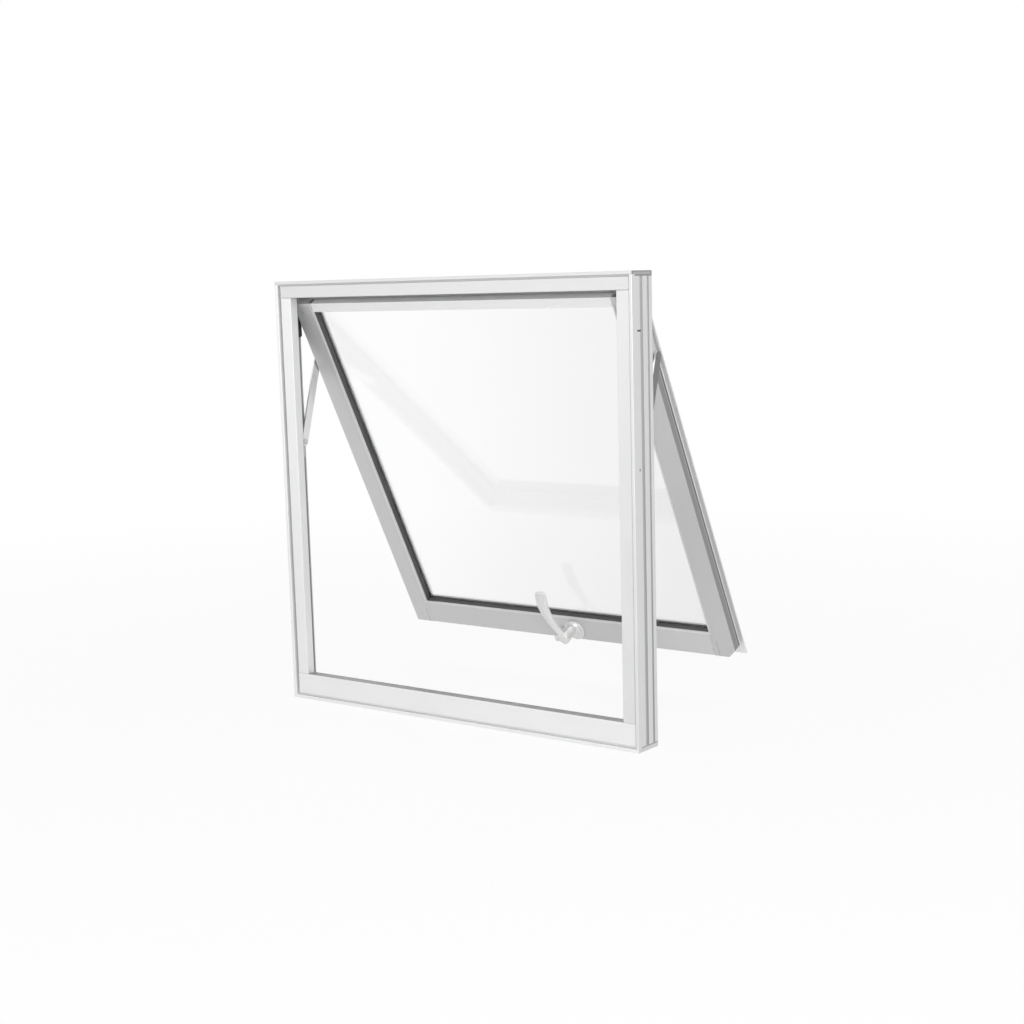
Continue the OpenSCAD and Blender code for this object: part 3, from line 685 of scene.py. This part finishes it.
def rivet(radius, height):
    """Low dome, height x (0.3 + 0.7 x (1 - share of the radius squared)), less a dimple of 0.45 of the
    height that is a third as wide as the head."""
    share = np.linspace(1.0, 0.03, 24)
    dimple = np.clip(1.0 - (share / 0.33) ** 2, 0.0, 1.0)
    z = height * (0.3 + 0.7 * (1.0 - share ** 2)) - height * 0.45 * dimple
    return lathe(np.stack([np.append(radius, share * radius), np.append(0.0, z)], axis=-1), 64)


def on_side(part, x, y, z, way):
    """Turns a part drawn along Z so that it points along X, with its x along Y and its y along Z, and
    moves it to a place. With way -1 it is also turned half round about Z, so it points along -X."""
    points, faces = part
    turned = np.stack([way * points[:, 2] + x, y + way * points[:, 0], z + points[:, 1]], axis=-1)
    return turned, faces


print("points in a rivet head", len(rivet(1.0, 1.0)[0]))

# %% [markdown]
# ## Where the screws and rivets go
# One domed screw sits beside the round base. Four small ones sit near the corners of the sash, and
# one sits on the outer side of each jamb, where a patch of painted shade round it stands for its
# seat. The rivets close the stay arms' pins at both ends. Each head is seated on the face that
# carries it.

# %% Screws of the sash
screw_left_of_handle, screw_below_handle = 0.022, 0.0025
screw_place = handle_place @ Matrix.Translation((-screw_left_of_handle, -screw_below_handle, 0.0))
screw_parts = [screw_head(0.0042, 0.0018)]
base_screw = add_piece("base_screw", screw_parts, screw_place, "sash", bracket_steel)
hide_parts("rail_screw")

corner_spots = [(0.2515, 0.0105), (-0.2737, 0.0137), (0.2549, 0.5439), (-0.2737, 0.5423)]
head_points, head_faces = screw_head(0.0021, 0.0006)
corner_parts = [(head_points + np.array([x, up, 0.0]), head_faces) for x, up in corner_spots]
add_piece("corner_screws", corner_parts, on_sash(0.0, 0.0), "sash", bracket_steel)

# %% Screws of the jambs and rivets of the stays
in_place, both_sides = Matrix.Identity(4), (-1.0, 1.0)
seat_x, seat_y, seat_z = half_width - 0.0014, -0.0097, 0.3575
jamb_heads = [on_side(screw_head(0.0018, 0.0009), way * seat_x, seat_y, seat_z, way) for way in both_sides]
add_piece("jamb_screws", jamb_heads, in_place, "frame", bracket_steel)

rivet_radius, pin_proud = 0.0041, 0.0007
fixed_head, swing_head = rivet(rivet_radius, 0.0004), rivet(rivet_radius, 0.0007)
fixed_x, swing_x = stay_front_x - pin_proud, stay_back_x + pin_proud
fixed_heads = [on_side(fixed_head, way * fixed_x, track_y, fixed_pin_z, -way) for way in both_sides]
add_piece("fixed_rivets", fixed_heads, in_place, "frame", plate_steel)
swing_heads = [on_side(swing_head, way * swing_x, swing_pin_y, swing_pin_z, way) for way in both_sides]
add_piece("swing_rivets", swing_heads, in_place, "sash", rivet_painted_shade_steel)

# %% [markdown]
# ## The sliding shoes
# A shoe is a moulded nylon block. Its long sides are ribbed, so that it slides on a few narrow lands
# and holds a little grease. I draw its outline with the ribs in it and stack that outline across the
# track, with softened edges.

# %% Shoes
shoe_width, shoe_length, shoe_edge = 7.4, 48.0, 0.5
rib_pitch, rib_depth, rib_free = 6.0, 0.35, 3.0


def shoe_outline(count=240, round_count=24):
    """Round-ended outline, 7.4 mm wide and 48 mm long below its pin: half circles at both ends, and
    straight sides pulled in by 0.35 mm between ribs that repeat every 6 mm."""
    radius, straight = shoe_width / 2.0, shoe_length - shoe_width
    angle = np.linspace(0.0, np.pi, round_count, endpoint=False)
    run = np.linspace(0.0, straight, count // 2 - round_count, endpoint=False)
    wave = np.clip(2.0 * np.sin(np.pi * run / rib_pitch) ** 2 - 0.6, 0.0, 1.0)
    hollow = rib_depth * wave * (run > rib_free) * (run < straight - rib_free)
    y = np.concatenate([radius * np.cos(angle), -(radius - hollow), -radius * np.cos(angle),
                        radius - hollow[::-1]])
    z = np.concatenate([radius * np.sin(angle), -run, -straight - radius * np.sin(angle),
                        -straight + run])
    return np.stack([y, z], axis=-1) * MM


shoe_block = tube(slab(shoe_outline(), stay_front_x, shoe_back_x, shoe_edge * MM))
for label, way in zip(("left", "right"), both_sides):
    shoe_parts = [on_side(shoe_block, 0.0, track_y, shoe_z, way)]
    shoe = add_piece(label + "_moulded_shoe", shoe_parts, in_place, "track_shoes", nylon)
    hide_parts(label + "_shoe")

# %% [markdown]
# ## Floor and backdrop
# The window stands on a pale floor that curves up into a backdrop, a sweep of one sheet, so no
# horizon shows. The sheet is white to the camera, to reflections and to what shows through glass.
# Close to the window it keeps a share of real shading, so that the window's soft shadow shows, and
# that share fades out with the distance.

# %% Sweep
sweep_front, flat_end, bend_radius, wall_top, sweep_half_width, below_floor = -5.0, 3.5, 1.5, 6.0, 7.0, 0.0005


def sweep_points():
    """Profile carried along a line: flat floor, a quarter circle of 1.5 m, then an upright wall. The
    profile lies in the vertical plane of the view and the line runs square to it."""
    bend = np.linspace(0.0, np.pi / 2.0, 25)
    wall = flat_end + bend_radius
    along = np.concatenate([[sweep_front], flat_end + bend_radius * np.sin(bend), [wall]])
    height = np.concatenate([[0.0], bend_radius * (1.0 - np.cos(bend)), [wall_top]]) - below_floor
    side = np.array([-sweep_half_width, sweep_half_width])
    floor = along[:, None, None] * np.array(level_way) + side[None, :, None] * np.array(level_right)
    return floor + height[:, None, None] * np.array([0.0, 0.0, 1.0])


sweep_grid = sweep_points()
sweep_faces = grid_faces(len(sweep_grid), 2, False)
sweep_mesh = bpy.data.meshes.new("studio_sweep")
sweep_mesh.from_pydata(sweep_grid.reshape(-1, 3).tolist(), [], sweep_faces.tolist())
sweep_mesh.polygons.foreach_set("use_smooth", np.ones(len(sweep_mesh.polygons), bool))
sweep = bpy.data.objects.new("studio_sweep", sweep_mesh)
bpy.context.scene.collection.objects.link(sweep)
print("sweep faces", len(sweep_mesh.polygons))

# %% Paper of the sweep
def seen_directly(tree):
    """One for camera, glossy and transmission rays, and nothing for the rays that light things."""
    path = tree.nodes.new("ShaderNodeLightPath").outputs
    either = tree.maths("MAXIMUM", path["Is Camera Ray"], path["Is Glossy Ray"])
    return tree.maths("MAXIMUM", either, path["Is Transmission Ray"])


def mixed_shaders(tree, share, first, second):
    """Share of the second shader, the rest of the first."""
    return tree.add("ShaderNodeMixShader", {0: share, 1: first, 2: second}).outputs[0]


paper = Finish("studio_paper")
paper.set("Base Color", (0.95, 0.95, 0.95, 1.0))
paper.set("Roughness", 0.9)
white = paper.add("ShaderNodeEmission", {"Strength": 1.0}).outputs[0]
reach = paper.add("ShaderNodeVectorMath", {0: paper.here()}, operation="LENGTH").outputs["Value"]
shadow_reach, white_shares = (0.5, 2.4), (0.88, 1.0)
white_share = paper.maths("MULTIPLY", seen_directly(paper), paper.rescaled(reach, shadow_reach, white_shares))
paper_look = mixed_shaders(paper, white_share, paper.shader.outputs[0], white)
paper.feed(paper.nodes["Material Output"].inputs["Surface"], paper_look)
sweep_mesh.materials.append(paper.owner)
print("made", paper.owner.name)

# %% [markdown]
# ## Light
# The photograph has even studio light with hardly a shadow. A pale world fills every side, and four
# large soft lamps model the bars: the strongest stands to the right beside the camera, and weaker
# ones stand above it, to the left, and over the window. The world looks white to the camera, but
# it lights the window with less than half of that.

# %% World
room_strength, seen_strength = 0.42, 1.0
world = bpy.data.worlds.new("studio_world")
bpy.context.scene.world = world
room = Tree(world)
room_light = room.nodes["Background"]
room.feed(room_light.inputs["Color"], (1.0, 1.0, 1.0, 1.0))
room.feed(room_light.inputs["Strength"], room_strength)
white_view = room.add("ShaderNodeBackground", {"Color": (1.0, 1.0, 1.0, 1.0), "Strength": seen_strength})
room_look = mixed_shaders(room, seen_directly(room), room_light.outputs[0], white_view.outputs[0])
room.feed(room.nodes["World Output"].inputs["Surface"], room_look)
print("world strength", room_strength)

# %% Lamps
def soft_lamp(name, place, size, power):
    """Square soft lamp at a place, turned to look at the middle of the window."""
    data = bpy.data.lights.new(name, "AREA")
    data.size, data.energy = size, power
    lamp = bpy.data.objects.new(name, data)
    bpy.context.scene.collection.objects.link(lamp)
    lamp.location = place
    lamp.rotation_euler = (window_middle - Vector(place)).to_track_quat("-Z", "Y").to_euler()


window_middle = Vector((0.0, 0.05, 0.3))
soft_lamp("key_lamp", (1.75, -2.1, 2.0), 1.4, 10.0)
soft_lamp("eye_lamp", (2.2, -2.4, 0.85), 1.0, 46.0)
soft_lamp("fill_lamp", (-1.6, -2.4, 1.2), 1.8, 10.0)
soft_lamp("top_lamp", (0.2, 0.3, 3.0), 2.0, 18.0)
print("lamps", len(bpy.data.lights))
